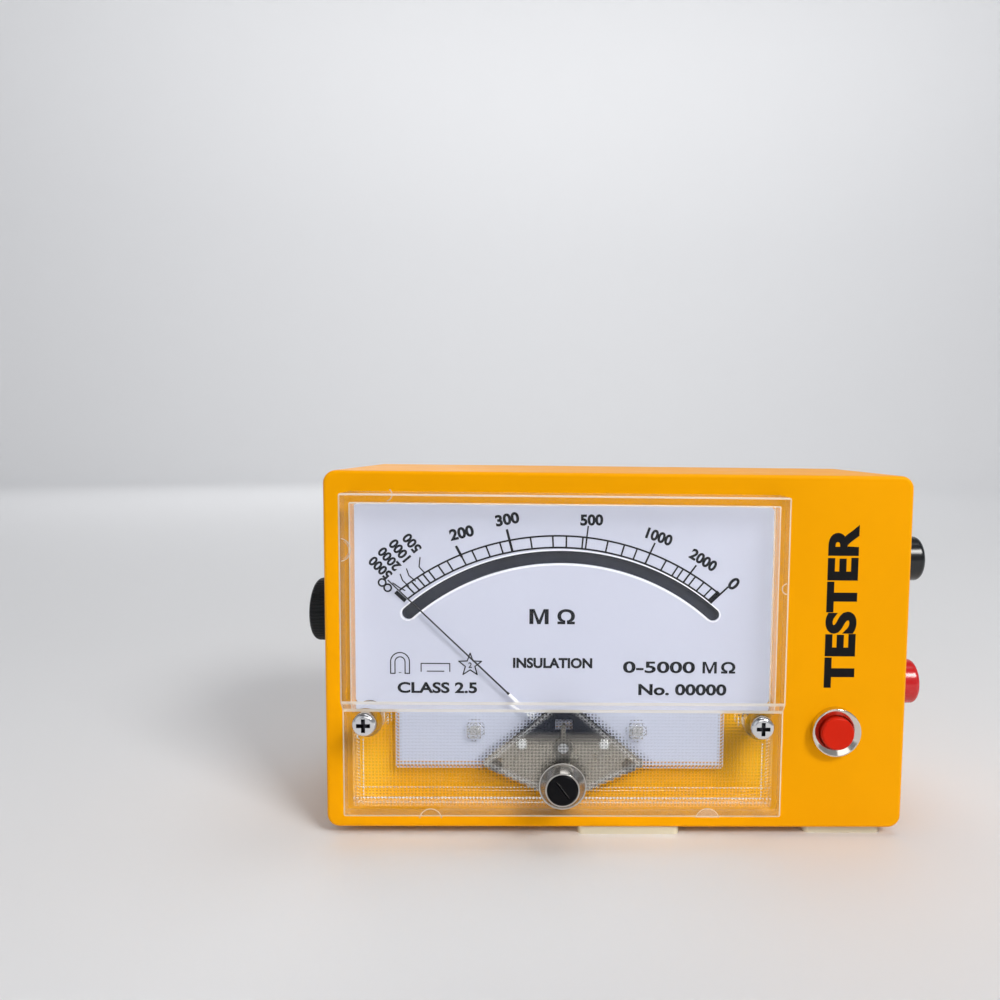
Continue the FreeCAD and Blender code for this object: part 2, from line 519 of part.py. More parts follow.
# ---------------------------------------------------------------------------
# Circuit board, transformer, cells and battery door
# ---------------------------------------------------------------------------
pcb = box(-52.0, 50.0, 26.0, 27.6, 12.0, 78.0)
pcb = pcb.cut(box(-14.0, -12.0, 25.9, 27.7, 12.0, 12.5))
save("circuit_board", pcb)
tcore = box(20.0, 42.0, 10.0, 26.0, 44.0, 64.0)
tcore = cut(tcore, box(23.0, 28.0, 9, 27, 47.0, 61.0), box(34.0, 39.0, 9, 27, 47.0, 61.0))
save("transformer_core", tcore)
wnd = rbox(23.2, 38.8, 47.2, 60.8, 1.5, 8.2, 25.8)
wnd = wnd.cut(box(27.9, 34.1, 8, 26, 43, 65))
limb = fuse(wnd, box(27.8, 34.2, 8.2, 9.8, 47.6, 60.4))
save("transformer_winding", limb)
save("capacitor", fuse(cy(5.0, 24.0, 35.5, 13.0, 26.0), cy(0.4, 24.0, 33.0, 25.9, 26.0)))

CELL_R, CELL_L = 7.1, 50.3
rows = [16.0, 32.6]
n = 1
for z in rows:
    for sgn in (-1, 1):
        x0 = -51.8 if sgn < 0 else 1.5
        c = cx(CELL_R, 40.0, z, x0, x0 + CELL_L - 1.2)
        if sgn < 0:
            c = c.fuse(cx(2.7, 40.0, z, x0 + CELL_L - 1.3, x0 + CELL_L))
        else:
            c = c.fuse(cx(2.7, 40.0, z, x0 + CELL_L - 1.3, x0 + CELL_L))
        save("cell_%d" % n, c.removeSplitter())
        n += 1
cont = fuse(box(-54.2, -53.8, 34.0, 46.0, 10.0, 39.0),
            cx(3.0, 40.0, rows[0], -53.9, -51.8), cx(3.0, 40.0, rows[1], -53.9, -51.8))
cont2 = fuse(box(53.8, 54.2, 34.0, 46.0, 10.0, 39.0),
             cx(3.0, 40.0, rows[0], 51.8, 53.9), cx(3.0, 40.0, rows[1], 51.8, 53.9))
cont3 = fuse(box(-0.2, 0.2, 34.0, 46.0, 10.0, 39.0),
             cx(3.0, 40.0, rows[0], 0.1, 1.5), cx(3.0, 40.0, rows[1], 0.1, 1.5))
cont3 = fuse(cont3, cx(3.0, 40.0, rows[0], -1.5, 0.0), cx(3.0, 40.0, rows[1], -1.5, 0.0))
save("battery_contacts", Part.makeCompound([cont, cont2, cont3]))

door = box(-DOOR_X, DOOR_X, 48.4, CASE_D, HINGE_Z, DOOR_Z1)
door = door.fuse(cx(1.0, HINGE_Y, HINGE_Z, -DOOR_X, DOOR_X))
door = door.fuse(cx(0.75, HINGE_Y, HINGE_Z, -DOOR_X - 1.5, DOOR_X + 1.5))
door = door.cut(box(-DOOR_X - 2, DOOR_X + 2, 46, 48.4, HINGE_Z, DOOR_Z1))
for k in range(7):
    zz = 36.0 + k * 0.9
    door = door.cut(box(-9, 9, CASE_D - 0.35, CASE_D + 1, zz, zz + 0.4))
save("battery_door", door.removeSplitter())
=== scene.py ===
import json
import math

import bmesh
import bpy
from mathutils import Matrix, Vector, geometry


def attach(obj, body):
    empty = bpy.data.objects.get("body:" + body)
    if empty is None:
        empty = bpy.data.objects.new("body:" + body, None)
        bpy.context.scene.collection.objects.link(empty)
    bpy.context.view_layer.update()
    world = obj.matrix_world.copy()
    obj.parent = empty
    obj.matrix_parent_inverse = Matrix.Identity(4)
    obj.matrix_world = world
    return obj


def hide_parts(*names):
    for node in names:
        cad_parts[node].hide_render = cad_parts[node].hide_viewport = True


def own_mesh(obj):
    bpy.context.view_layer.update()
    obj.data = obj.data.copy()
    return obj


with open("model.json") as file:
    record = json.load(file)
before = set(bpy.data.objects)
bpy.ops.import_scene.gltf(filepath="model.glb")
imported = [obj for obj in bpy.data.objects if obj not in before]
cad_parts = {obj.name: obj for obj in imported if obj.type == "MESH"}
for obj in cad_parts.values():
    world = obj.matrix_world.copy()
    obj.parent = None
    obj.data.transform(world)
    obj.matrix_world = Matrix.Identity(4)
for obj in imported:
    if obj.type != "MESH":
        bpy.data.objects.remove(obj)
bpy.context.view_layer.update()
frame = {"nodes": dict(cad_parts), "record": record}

N = frame["nodes"]

# Drawing space, in mm: case front plane at y = 0, underside at z = 0.
OX, OY, OZ = -1.1, -20.5, 2.0


def L(x, y, z):
    return Vector(((x + OX) * 0.001, (y + OY) * 0.001, (z + OZ) * 0.001))


# --------------------------------------------------------------------------
# Materials
# --------------------------------------------------------------------------
def lin(h):
    out = []
    for k in (0, 2, 4):
        c = int(h[k:k + 2], 16) / 255.0
        out.append(c / 12.92 if c <= 0.04045 else ((c + 0.055) / 1.055) ** 2.4)
    return tuple(out) + (1.0,)


def mat(name, colour, rough=0.4, metal=0.0, coat=0.0, coat_rough=0.1, bump=0.0, bump_scale=2500.0,
        mottle=0.0, mottle_scale=60.0, rough_var=0.0, ior=1.5, spec=0.5, tint=None):
    m = bpy.data.materials.new(name)
    m.use_nodes = True
    nt = m.node_tree
    b = nt.nodes["Principled BSDF"]
    b.inputs["Base Color"].default_value = colour
    b.inputs["Roughness"].default_value = rough
    b.inputs["Metallic"].default_value = metal
    b.inputs["Coat Weight"].default_value = coat
    b.inputs["Coat Roughness"].default_value = coat_rough
    b.inputs["IOR"].default_value = ior
    b.inputs["Specular IOR Level"].default_value = spec
    if tint:
        b.inputs["Specular Tint"].default_value = tint
    tc = None
    if bump or mottle or rough_var:
        tc = nt.nodes.new("ShaderNodeTexCoord")
    if bump:
        n = nt.nodes.new("ShaderNodeTexNoise")
        n.inputs["Scale"].default_value = bump_scale
        n.inputs["Detail"].default_value = 3.0
        n.inputs["Roughness"].default_value = 0.6
        nt.links.new(tc.outputs["Object"], n.inputs["Vector"])
        bp = nt.nodes.new("ShaderNodeBump")
        bp.inputs["Strength"].default_value = bump
        bp.inputs["Distance"].default_value = 0.0001
        nt.links.new(n.outputs["Fac"], bp.inputs["Height"])
        nt.links.new(bp.outputs["Normal"], b.inputs["Normal"])
    if mottle:
        n = nt.nodes.new("ShaderNodeTexNoise")
        n.inputs["Scale"].default_value = mottle_scale
        n.inputs["Detail"].default_value = 4.0
        nt.links.new(tc.outputs["Object"], n.inputs["Vector"])
        r = nt.nodes.new("ShaderNodeValToRGB")
        r.color_ramp.elements[0].position = 0.3
        r.color_ramp.elements[1].position = 0.7
        lo = [max(0.0, c * (1 - mottle)) for c in colour[:3]] + [1.0]
        hi = [min(1.0, c * (1 + mottle)) for c in colour[:3]] + [1.0]
        r.color_ramp.elements[0].color = lo
        r.color_ramp.elements[1].color = hi
        nt.links.new(n.outputs["Fac"], r.inputs["Fac"])
        nt.links.new(r.outputs["Color"], b.inputs["Base Color"])
    if rough_var:
        n = nt.nodes.new("ShaderNodeTexNoise")
        n.inputs["Scale"].default_value = 180.0
        n.inputs["Detail"].default_value = 5.0
        nt.links.new(tc.outputs["Object"], n.inputs["Vector"])
        mr = nt.nodes.new("ShaderNodeMapRange")
        mr.inputs["From Min"].default_value = 0.3
        mr.inputs["From Max"].default_value = 0.7
        mr.inputs["To Min"].default_value = max(0.02, rough - rough_var)
        mr.inputs["To Max"].default_value = rough + rough_var
        nt.links.new(n.outputs["Fac"], mr.inputs["Value"])
        nt.links.new(mr.outputs["Result"], b.inputs["Roughness"])
    return m


def clear_mat(name, tint, shade, haze=0.0, rough=0.0, ior=1.49, refl=1.0, glow=(0.92, 0.93, 0.95, 1.0)):
    """Clear acrylic: refracts what is seen, lets light pass on to what is behind."""
    m = bpy.data.materials.new(name)
    m.use_nodes = True
    nt = m.node_tree
    nt.nodes.clear()
    out = nt.nodes.new("ShaderNodeOutputMaterial")
    b = nt.nodes.new("ShaderNodeBsdfPrincipled")
    b.inputs["Base Color"].default_value = tint
    b.inputs["Roughness"].default_value = rough
    b.inputs["IOR"].default_value = ior
    b.inputs["Specular Tint"].default_value = (refl, refl, refl, 1.0)
    b.inputs["Transmission Weight"].default_value = 1.0
    last = b.outputs[0]
    if haze:
        d = nt.nodes.new("ShaderNodeBsdfDiffuse")
        d.inputs["Color"].default_value = glow
        hz = nt.nodes.new("ShaderNodeMixShader")
        hz.inputs["Fac"].default_value = haze
        nt.links.new(last, hz.inputs[1])
        nt.links.new(d.outputs[0], hz.inputs[2])
        last = hz.outputs[0]
    tr = nt.nodes.new("ShaderNodeBsdfTransparent")
    tr.inputs["Color"].default_value = (shade, shade, shade, 1.0)
    lp = nt.nodes.new("ShaderNodeLightPath")
    mx = nt.nodes.new("ShaderNodeMixShader")
    nt.links.new(lp.outputs["Is Shadow Ray"], mx.inputs["Fac"])
    nt.links.new(last, mx.inputs[1])
    nt.links.new(tr.outputs[0], mx.inputs[2])
    nt.links.new(mx.outputs[0], out.inputs["Surface"])
    return m


M = {}
M["case_yellow"] = mat("abs_yellow", (0.98, 0.40, 0.0, 1), 0.45, bump=0.08, bump_scale=2600.0,
                       mottle=0.025, mottle_scale=40.0, rough_var=0.05, spec=0.22, tint=(1.0, 0.75, 0.15, 1))
M["foot_cream"] = mat("foot_cream", (0.72, 0.66, 0.50, 1), 0.75, bump=0.3, bump_scale=1500.0, mottle=0.06)
M["zinc"] = mat("zinc_screw", (0.66, 0.65, 0.65, 1), 0.14, metal=1.0, bump=0.10, bump_scale=1800.0, rough_var=0.08)
M["collar_metal"] = mat("collar_metal", (0.50, 0.48, 0.45, 1), 0.12, metal=1.0, rough_var=0.04)
M["adjuster_black"] = mat("adjuster_black", (0.003, 0.003, 0.004, 1), 0.30, spec=0.12)
M["dial_white"] = mat("dial_paint", (0.555, 0.58, 0.70, 1), 0.6, spec=0.2, bump=0.04, bump_scale=3000.0, mottle=0.012, mottle_scale=30.0)
# the dial's mirror strip: a dark gloss, painted dark to stand in for the dark surroundings it reflects (painted
# reflection)
M["mirror_dark"] = mat("mirror_dark", (0.016, 0.019, 0.032, 1), 0.22, mottle=0.25, mottle_scale=90.0, bump=0.03)
M["frame_metal"] = mat("frame_metal", (0.55, 0.56, 0.58, 1), 0.35, metal=1.0, bump=0.15, mottle=0.08)
M["bridge_dark"] = mat("bridge_dark", (0.030, 0.036, 0.055, 1), 0.3, metal=0.4, rough_var=0.06)
M["magnet_steel"] = mat("magnet_steel", (0.16, 0.16, 0.17, 1), 0.5, metal=0.8, bump=0.35, mottle=0.2)
M["iron"] = mat("soft_iron", (0.30, 0.30, 0.31, 1), 0.4, metal=0.9, bump=0.2, mottle=0.15)
M["brass"] = mat("brass", (0.80, 0.58, 0.25, 1), 0.22, metal=1.0, rough_var=0.06)
M["lever_metal"] = mat("lever_metal", (0.30, 0.28, 0.25, 1), 0.3, metal=1.0, rough_var=0.06)
M["spring_bronze"] = mat("spring_bronze", (0.72, 0.45, 0.22, 1), 0.25, metal=1.0)
M["pivot_steel"] = mat("pivot_steel", (0.75, 0.75, 0.76, 1), 0.15, metal=1.0)
M["coil_copper"] = mat("coil_copper", (0.55, 0.20, 0.07, 1), 0.35, metal=0.7, bump=0.4, bump_scale=4000.0)
M["pointer_black"] = mat("pointer_black", (0.008, 0.008, 0.010, 1), 0.42)
M["cap_red"] = mat("cap_red", (0.68, 0.016, 0.003, 1), 0.34, bump=0.05, mottle=0.03, spec=0.2, tint=(1.0, 0.6, 0.5, 1))
M["chrome_ring"] = mat("chrome_ring", (0.74, 0.70, 0.64, 1), 0.10, metal=1.0, rough_var=0.04)
M["body_black"] = mat("body_black", (0.012, 0.012, 0.013, 1), 0.5, bump=0.15)
M["nut_plated"] = mat("nut_plated", (0.66, 0.64, 0.60, 1), 0.28, metal=1.0, rough_var=0.08)
M["spring_steel"] = mat("spring_steel", (0.62, 0.62, 0.63, 1), 0.25, metal=1.0)
M["knob_black"] = mat("knob_black", (0.007, 0.009, 0.011, 1), 0.42, bump=0.12, mottle=0.2, spec=0.3)
M["pot_metal"] = mat("pot_metal", (0.58, 0.57, 0.54, 1), 0.32, metal=1.0, rough_var=0.08)
M["socket_black"] = mat("socket_black", (0.006, 0.007, 0.009, 1), 0.22, coat=0.1)
M["socket_red"] = mat("socket_red", (0.56, 0.010, 0.014, 1), 0.2, coat=0.2, mottle=0.03)
M["sleeve_brass"] = mat("sleeve_brass", (0.80, 0.74, 0.62, 1), 0.20, metal=1.0, rough_var=0.05)
M["board_green"] = mat("board_green", (0.02, 0.14, 0.05, 1), 0.35, mottle=0.1)
M["core_iron"] = mat("core_iron", (0.12, 0.12, 0.13, 1), 0.5, metal=0.7, bump=0.2)
M["winding_tape"] = mat("winding_tape", (0.62, 0.45, 0.06, 1), 0.4, bump=0.1)
M["capacitor_sleeve"] = mat("capacitor_sleeve", (0.02, 0.05, 0.20, 1), 0.3)
M["cell_wrap"] = mat("cell_wrap", (0.08, 0.085, 0.10, 1), 0.3, metal=0.3)
M["contact_plate"] = mat("contact_plate", (0.72, 0.71, 0.68, 1), 0.25, metal=1.0)
M["ink"] = mat("ink_black", (0.005, 0.006, 0.010, 1), 0.6, spec=0.1)
M["ink_case"] = mat("ink_case", (0.004, 0.004, 0.005, 1), 0.5, bump=0.05, spec=0.15)
M["paint_white"] = mat("paint_white", (0.86, 0.88, 0.95, 1), 0.5)
M["slot_edge"] = mat("slot_edge", (0.62, 0.58, 0.52, 1), 0.4)
M["needle_edge"] = mat("needle_edge", (0.85, 0.86, 0.90, 1), 0.35)
M["clear"] = clear_mat("clear_window", (0.99, 0.99, 0.99, 1.0), 0.97, refl=0.35)
M["clear_wall"] = clear_mat("clear_wall", (0.93, 0.93, 0.88, 1.0), 0.80, haze=0.04)
# eased cover edges: a milky cream haze standing in for the bright highlight lines the edges catch (painted highlight)
M["clear_edge"] = clear_mat("clear_edge", (1.0, 0.98, 0.93, 1.0), 0.90, haze=0.60, glow=(0.92, 0.87, 0.78, 1.0))
M["mould_mark"] = clear_mat("mould_mark", (1.0, 1.0, 1.0, 1.0), 0.95, haze=0.42, ior=1.05, refl=0.3)
M["mould_flat"] = clear_mat("mould_flat", (0.96, 0.94, 0.90, 1.0), 0.95, haze=0.16, ior=1.05, refl=0.3)
# step chamfer: a light haze standing in for the pale band the chamfer catches (painted highlight)
M["clear_step"] = clear_mat("clear_step", (0.98, 0.98, 0.98, 1.0), 0.90, haze=0.13)
# cover's base faces: a darkening tint on what is seen through the walls, standing in for the shade on the case face
# under them (painted shade)
M["clear_base"] = clear_mat("clear_base", (0.62, 0.66, 0.52, 1.0), 0.92, haze=0.0)


class Sum:
    """Small arithmetic on node sockets."""

    def __init__(self, nt):
        self.nt = nt
        tc = nt.nodes.new("ShaderNodeTexCoord")
        sp = nt.nodes.new("ShaderNodeSeparateXYZ")
        nt.links.new(tc.outputs["Object"], sp.inputs[0])
        self.x = self.op("MULTIPLY_ADD", sp.outputs["X"], 1000.0, -OX)
        self.y = self.op("MULTIPLY_ADD", sp.outputs["Y"], 1000.0, -OY)
        self.z = self.op("MULTIPLY_ADD", sp.outputs["Z"], 1000.0, -OZ)

    def op(self, kind, *args):
        n = self.nt.nodes.new("ShaderNodeMath")
        n.operation = kind
        for k, v in enumerate(args):
            if isinstance(v, (int, float)):
                n.inputs[k].default_value = float(v)
            else:
                self.nt.links.new(v, n.inputs[k])
        return n.outputs[0]

    def least(self, *args):
        out = args[0]
        for v in args[1:]:
            out = self.op("MINIMUM", out, v)
        return out

    def most(self, *args):
        out = args[0]
        for v in args[1:]:
            out = self.op("MAXIMUM", out, v)
        return out

    def ramp(self, v, a, b):
        n = self.nt.nodes.new("ShaderNodeMapRange")
        n.interpolation_type = "SMOOTHSTEP"
        n.inputs["From Min"].default_value = a
        n.inputs["From Max"].default_value = b
        self.nt.links.new(v, n.inputs["Value"])
        return n.outputs["Result"]

    def mix(self, f, a, b, blend="MIX"):
        n = self.nt.nodes.new("ShaderNodeMix")
        n.data_type = "RGBA"
        n.blend_type = blend
        self.nt.links.new(f, n.inputs[0])
        for k, v in ((6, a), (7, b)):
            if isinstance(v, tuple):
                n.inputs[k].default_value = v
            else:
                self.nt.links.new(v, n.inputs[k])
        return n.outputs[2]

    def glow(self, x, z, rx, rz):
        """A soft spot, 1 at its middle."""
        dx = self.op("DIVIDE", self.op("SUBTRACT", self.x, x), rx)
        dz = self.op("DIVIDE", self.op("SUBTRACT", self.z, z), rz)
        r = self.op("ADD", self.op("MULTIPLY", dx, dx), self.op("MULTIPLY", dz, dz))
        return self.op("EXPONENT", self.op("MULTIPLY", r, -1.0))


def shade_under_cover(m):
    """The case face under the clear strip: painted shade for the light the pyramids hold back, a painted shadow of the
    dial plate, and painted bright patches of light focused through the cover.
    """
    nt = m.node_tree
    b = nt.nodes["Principled BSDF"]
    src = b.inputs["Base Color"].links[0].from_socket
    s = Sum(nt)
    inside = s.least(s.ramp(s.x, -60.6, -60.0), s.ramp(s.x, 35.8, 35.1), s.ramp(s.z, 7.4, 8.0),
                     s.ramp(s.z, 34.0, 30.0), s.ramp(s.y, 0.4, 0.1))
    # painted light: soft bright patches for light focused through the cover
    painted_light = s.most(s.glow(33.0, 15.0, 4.0, 6.0), s.glow(-57.5, 14.0, 4.5, 8.0),
                    s.op("MULTIPLY", s.glow(28.0, 27.5, 3.0, 2.5), 0.9))
    # painted shadow of the dial plate's tongue on the case face
    plate_shadow = s.op("MULTIPLY", s.ramp(s.z, 9.0, 16.0), s.ramp(s.x, 20.0, 26.0))
    # painted shade over the rest of the covered face
    painted_shade = s.op("MULTIPLY", inside, s.op("SUBTRACT", 1.0, painted_light))
    c = s.mix(painted_shade, src, (0.86, 0.90, 1.0, 1), "MULTIPLY")
    c = s.mix(s.op("MULTIPLY", s.op("MULTIPLY", plate_shadow, painted_shade), 1.0), c, (0.62, 0.70, 1.0, 1), "MULTIPLY")
    c = s.mix(s.op("MULTIPLY", inside, painted_light), c, (1.0, 0.50, 0.01, 1))
    nt.links.new(c, b.inputs["Base Color"])


def grid_mat():
    """Prismatic strip: square cells that read darkest over and around the dark bridge, painted in: the dark dots stand
    in for the bridge's image refracted through the pyramids, and a pale haze on the lines between them is a painted
    highlight.
    """
    m = clear_mat("clear_grid", (0.955, 0.985, 1.0, 1.0), 0.74, refl=0.5, haze=0.001)
    nt = m.node_tree
    b = [n for n in nt.nodes if n.bl_idname == "ShaderNodeBsdfPrincipled"][0]
    hz = [n for n in nt.nodes if n.bl_idname == "ShaderNodeMixShader" and abs(n.inputs[0].default_value - 0.001) < 1e-5
          and not n.inputs[0].is_linked][0]
    s = Sum(nt)
    px, pz = 0.80, 0.75
    u = s.op("ABSOLUTE", s.op("SUBTRACT", s.op("FRACT", s.op("DIVIDE", s.op("ADD", s.x, 60.05), px)), 0.5))
    v = s.op("ABSOLUTE", s.op("SUBTRACT", s.op("FRACT", s.op("DIVIDE", s.op("SUBTRACT", s.z, 7.95), pz)), 0.5))
    dot = s.op("LESS_THAN", s.op("MAXIMUM", u, v), 0.27)
    ax = s.op("ABSOLUTE", s.op("ADD", s.x, 12.6))
    e1 = s.op("MULTIPLY", s.op("SUBTRACT", s.op("SUBTRACT", 33.5, s.z), s.op("MULTIPLY", ax, 0.82)), 0.773)
    e2 = s.op("MULTIPLY", s.op("SUBTRACT", s.op("SUBTRACT", s.z, 9.0), s.op("MULTIPLY", ax, 0.456)), 0.91)
    d = s.least(e1, e2, s.op("SUBTRACT", 31.4, s.z))
    near_k = s.op("SUBTRACT", 1.0, s.ramp(s.op("ABSOLUTE", d), 0.8, 2.0))
    in_k = s.ramp(d, 0.0, 1.0)
    t = s.least(s.op("ADD", s.x, 50.2), s.op("SUBTRACT", 23.5, s.x), s.op("SUBTRACT", s.z, 17.4))
    near_t = s.op("SUBTRACT", 1.0, s.ramp(s.op("ABSOLUTE", t), 0.4, 1.3))
    out = s.op("MULTIPLY", s.ramp(t, 0.2, -0.6), s.ramp(d, 0.2, -0.6))
    # painted refraction image: dark dots near and over the bridge, along the tongue's edge, and fainter ones elsewhere
    dark = s.most(s.op("MULTIPLY", near_k, 0.85), s.op("MULTIPLY", in_k, 0.70), s.op("MULTIPLY", near_t, 0.55),
                  s.op("MULTIPLY", out, 0.30))
    dark = s.op("MULTIPLY", dark, dot)
    c = s.mix(dark, (0.955, 0.985, 1.0, 1), (0.05, 0.05, 0.06, 1))
    nt.links.new(c, b.inputs["Base Color"])
    # painted highlight: pale haze on the lines between the dots near the bridge's edge
    line = s.op("SUBTRACT", 1.0, dot)
    h = s.op("MULTIPLY", s.op("MULTIPLY", line, s.op("MULTIPLY", near_k, in_k)), 0.30)
    nt.links.new(h, hz.inputs[0])
    return m


def pointer_mat():
    """Black outside 17.2 mm from the axis, bare white inside it and on the back."""
    m = mat("pointer_two_tone", (0.008, 0.008, 0.010, 1), 0.42, spec=0.25)
    nt = m.node_tree
    b = nt.nodes["Principled BSDF"]
    tc = nt.nodes.new("ShaderNodeTexCoord")
    sp = nt.nodes.new("ShaderNodeSeparateXYZ")
    nt.links.new(tc.outputs["Object"], sp.inputs[0])

    def op(kind, a, c=None):
        n = nt.nodes.new("ShaderNodeMath")
        n.operation = kind
        for k, v in enumerate((a, c)):
            if v is None:
                continue
            if isinstance(v, float):
                n.inputs[k].default_value = v
            else:
                nt.links.new(v, n.inputs[k])
        return n.outputs[0]

    ax, az = (-12.6 + OX) * 0.001, (21.33 + OZ) * 0.001
    dx = op("SUBTRACT", sp.outputs["X"], ax)
    dz = op("SUBTRACT", sp.outputs["Z"], az)
    rr = op("ADD", op("MULTIPLY", dx, dx), op("MULTIPLY", dz, dz))
    inside = op("LESS_THAN", rr, (17.3 * 0.001) ** 2)
    back = op("GREATER_THAN", sp.outputs["Y"], (-2.515 + OY) * 0.001)
    far = op("MAXIMUM", inside, back)
    mx = nt.nodes.new("ShaderNodeMix")
    mx.data_type = "RGBA"
    nt.links.new(far, mx.inputs[0])
    mx.inputs[6].default_value = (0.008, 0.008, 0.010, 1)
    mx.inputs[7].default_value = (0.90, 0.91, 0.95, 1)
    nt.links.new(mx.outputs[2], b.inputs["Base Color"])
    return m


def bridge_mat():
    """Painted reflection on the bridge: dark navy at the top running to grey metal below, standing in for the dark
    surroundings it reflects above and the light ones below.
    """
    m = mat("bridge_painted_reflection", (0.03, 0.036, 0.055, 1), 0.24, metal=0.75, rough_var=0.06)
    nt = m.node_tree
    b = nt.nodes["Principled BSDF"]
    tc = nt.nodes.new("ShaderNodeTexCoord")
    sp = nt.nodes.new("ShaderNodeSeparateXYZ")
    nt.links.new(tc.outputs["Object"], sp.inputs[0])
    mr = nt.nodes.new("ShaderNodeMapRange")
    mr.inputs["From Min"].default_value = (21.5 + OZ) * 0.001
    mr.inputs["From Max"].default_value = (25.0 + OZ) * 0.001
    nt.links.new(sp.outputs["Z"], mr.inputs["Value"])
    r = nt.nodes.new("ShaderNodeValToRGB")
    r.color_ramp.elements[0].position = 0.0
    r.color_ramp.elements[0].color = (0.50, 0.455, 0.39, 1)
    r.color_ramp.elements[1].position = 1.0
    r.color_ramp.elements[1].color = (0.022, 0.027, 0.045, 1)
    nt.links.new(mr.outputs["Result"], r.inputs["Fac"])
    last = r.outputs["Color"]
    # painted glints: the two stud heads painted near-white
    for sx_ in (-9.4, 9.4):
        d = nt.nodes.new("ShaderNodeVectorMath")
        d.operation = "SUBTRACT"
        nt.links.new(tc.outputs["Object"], d.inputs[0])
        d.inputs[1].default_value = ((-12.6 + sx_ + OX) * 0.001, 0.0, (22.0 + OZ) * 0.001)
        f = nt.nodes.new("ShaderNodeVectorMath")
        f.operation = "MULTIPLY"
        nt.links.new(d.outputs[0], f.inputs[0])
        f.inputs[1].default_value = (1.0, 0.0, 1.0)
        ln = nt.nodes.new("ShaderNodeVectorMath")
        ln.operation = "LENGTH"
        nt.links.new(f.outputs[0], ln.inputs[0])
        lt = nt.nodes.new("ShaderNodeMath")
        lt.operation = "LESS_THAN"
        nt.links.new(ln.outputs["Value"], lt.inputs[0])
        lt.inputs[1].default_value = 0.00122
        mx = nt.nodes.new("ShaderNodeMix")
        mx.data_type = "RGBA"
        nt.links.new(lt.outputs[0], mx.inputs[0])
        nt.links.new(last, mx.inputs[6])
        mx.inputs[7].default_value = (0.92, 0.92, 0.90, 1)
        last = mx.outputs[2]
    nt.links.new(last, b.inputs["Base Color"])
    return m


M["clear_grid"] = grid_mat()
shade_under_cover(M["case_yellow"])
M["pointer_black"] = pointer_mat()
M["bridge_dark"] = bridge_mat()

SLOT_OF = {r["node"]: r["material_slot"] for r in frame["record"]["subparts"]}


def put(o, m):
    o.data.materials.clear()
    o.data.materials.append(m)


for name, o in N.items():
    s = SLOT_OF[name]
    if s in M:
        put(o, M[s])
put(N["jewel_front"], mat("jewel_screw", (0.62, 0.61, 0.60, 1), 0.2, metal=1.0))
M["screw_blued"] = mat("screw_blued", (0.30, 0.275, 0.24, 1), 0.35, metal=1.0)
for name in ("bridge_screw_left", "bridge_screw_right"):
    put(N[name], M["screw_blued"])


def cover_screw_mat(name, xc, zc):
    """Bright head with a shadowed cross recess."""
    m = mat(name, (0.76, 0.76, 0.78, 1), 0.12, metal=1.0, bump=0.06, bump_scale=1800.0)
    q = Sum(m.node_tree)
    dx, dz = q.op("SUBTRACT", q.x, xc), q.op("SUBTRACT", q.z, zc)
    r2 = q.op("ADD", q.op("MULTIPLY", dx, dx), q.op("MULTIPLY", dz, dz))
    f = q.least(q.ramp(q.y, -8.46, -8.15), q.op("LESS_THAN", r2, 2.7))
    col = q.mix(f, (0.76, 0.76, 0.78, 1), (0.03, 0.03, 0.035, 1))
    m.node_tree.links.new(col, m.node_tree.nodes["Principled BSDF"].inputs["Base Color"])
    return m


put(N["cover_screw_left"], cover_screw_mat("screw_left", -57.0, 27.6))
put(N["cover_screw_right"], cover_screw_mat("screw_right", 32.3, 27.2))


# --------------------------------------------------------------------------
# Mesh helpers
# --------------------------------------------------------------------------
def add_mesh(name, verts, faces, m, body, smooth=None):
    me = bpy.data.meshes.new(name)
    me.from_pydata([tuple(v) for v in verts], [], faces)
    me.validate()
    me.update()
    o = bpy.data.objects.new(name, me)
    bpy.context.scene.collection.objects.link(o)
    me.materials.append(m)
    if smooth is not None:
        for p in me.polygons:
            p.use_smooth = True
        me.set_sharp_from_angle(angle=math.radians(smooth))
    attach(o, body)
    return o


